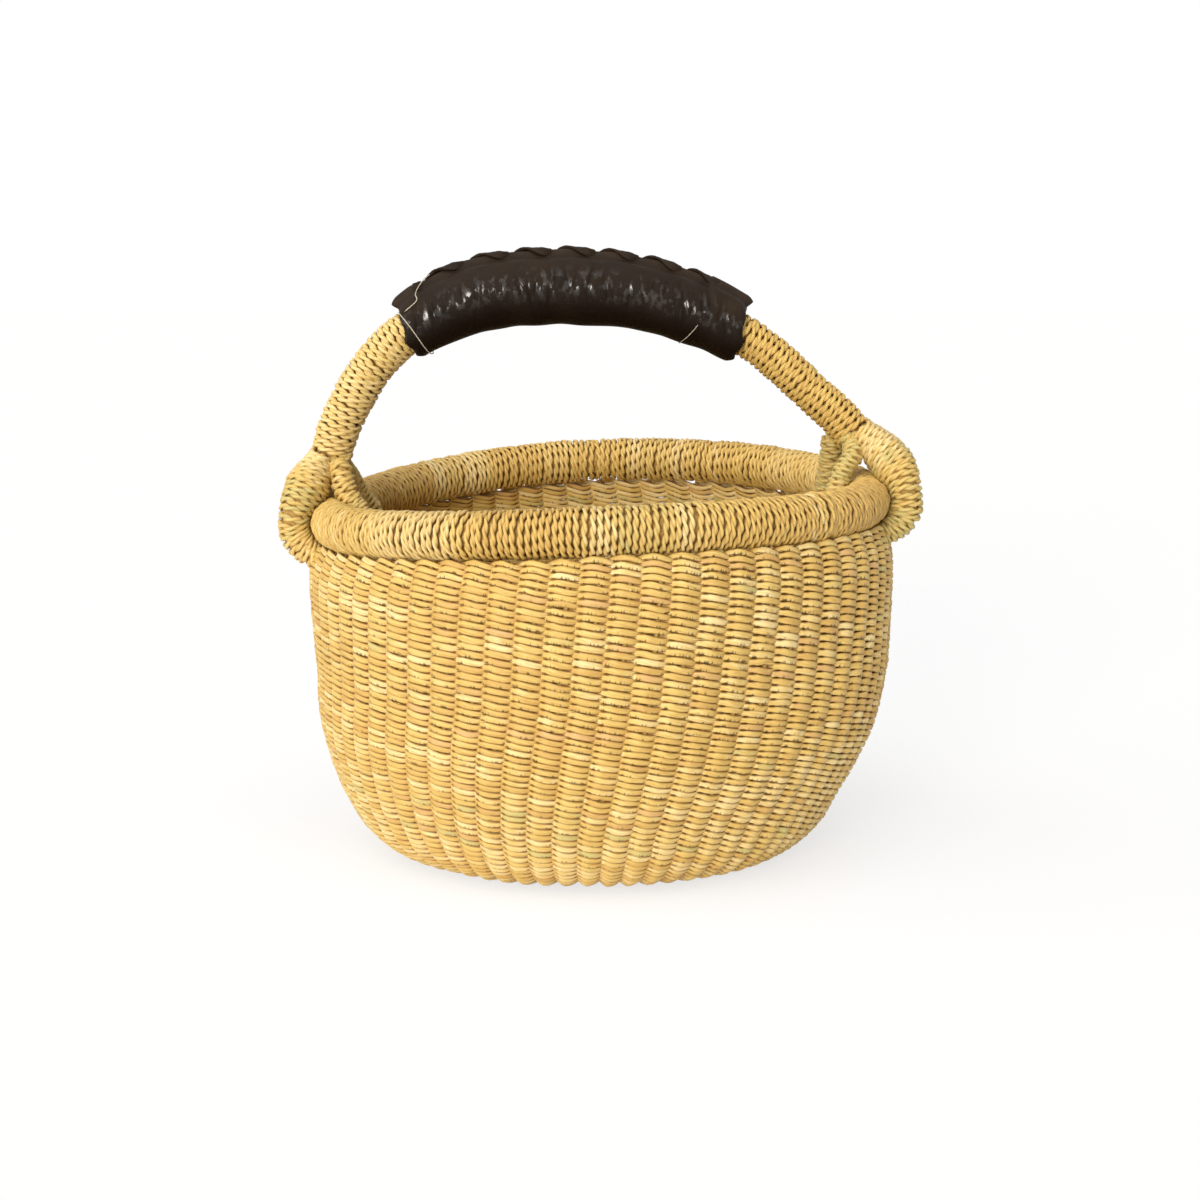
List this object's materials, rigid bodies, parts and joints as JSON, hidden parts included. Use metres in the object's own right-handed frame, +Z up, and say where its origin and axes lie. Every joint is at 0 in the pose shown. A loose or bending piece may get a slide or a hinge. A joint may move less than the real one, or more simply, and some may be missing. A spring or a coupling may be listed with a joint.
{
  "type": "bolga basket",
  "caption": "Round twined grass basket with a thick bound rim and a fixed arched handle, forked round the rim at each end, with a laced leather grip.",
  "frame": {"origin": "centre of the bounding box at its lowest face: the basket stands on z = 0 round its own axis", "axes": "+Z up, +X along the handle from its left fork to its right fork, -Y towards the viewer of the picture"},
  "size_m": [0.3029, 0.2796, 0.2833],
  "materials": {
    "grass_outside": "natural twisted grass, satin, pale straw with tan and greenish strands",
    "grass_inside": "natural twisted grass, satin, as outside",
    "grass_bundle": "raw untwisted grass stems, hidden",
    "leather": "dark brown, wrinkled, semi-gloss",
    "thread": "pale waxed stitching thread"
  },
  "bodies": {
    "root": {"base_underside_weave": "grass_outside", "base_inside_weave": "grass_inside", "wall_outer_weave": "grass_outside", "wall_inner_weave": "grass_inside", "stakes": "grass_bundle", "rim_core": "grass_bundle", "rim_binding": "grass_outside", "handle_core": "grass_bundle", "left_arm_winding": "grass_outside", "right_arm_winding": "grass_outside", "left_front_loop_core": "grass_bundle", "left_front_loop_binding": "grass_outside", "left_rear_loop_core": "grass_bundle", "left_rear_loop_binding": "grass_outside", "right_front_loop_core": "grass_bundle", "right_front_loop_binding": "grass_outside", "right_rear_loop_core": "grass_bundle", "right_rear_loop_binding": "grass_outside", "grip_padding": "grass_bundle", "grip_leather": "leather", "grip_lacing": "leather", "left_grip_thread": "thread", "right_grip_thread": "thread"}
  },
  "joints": []
}
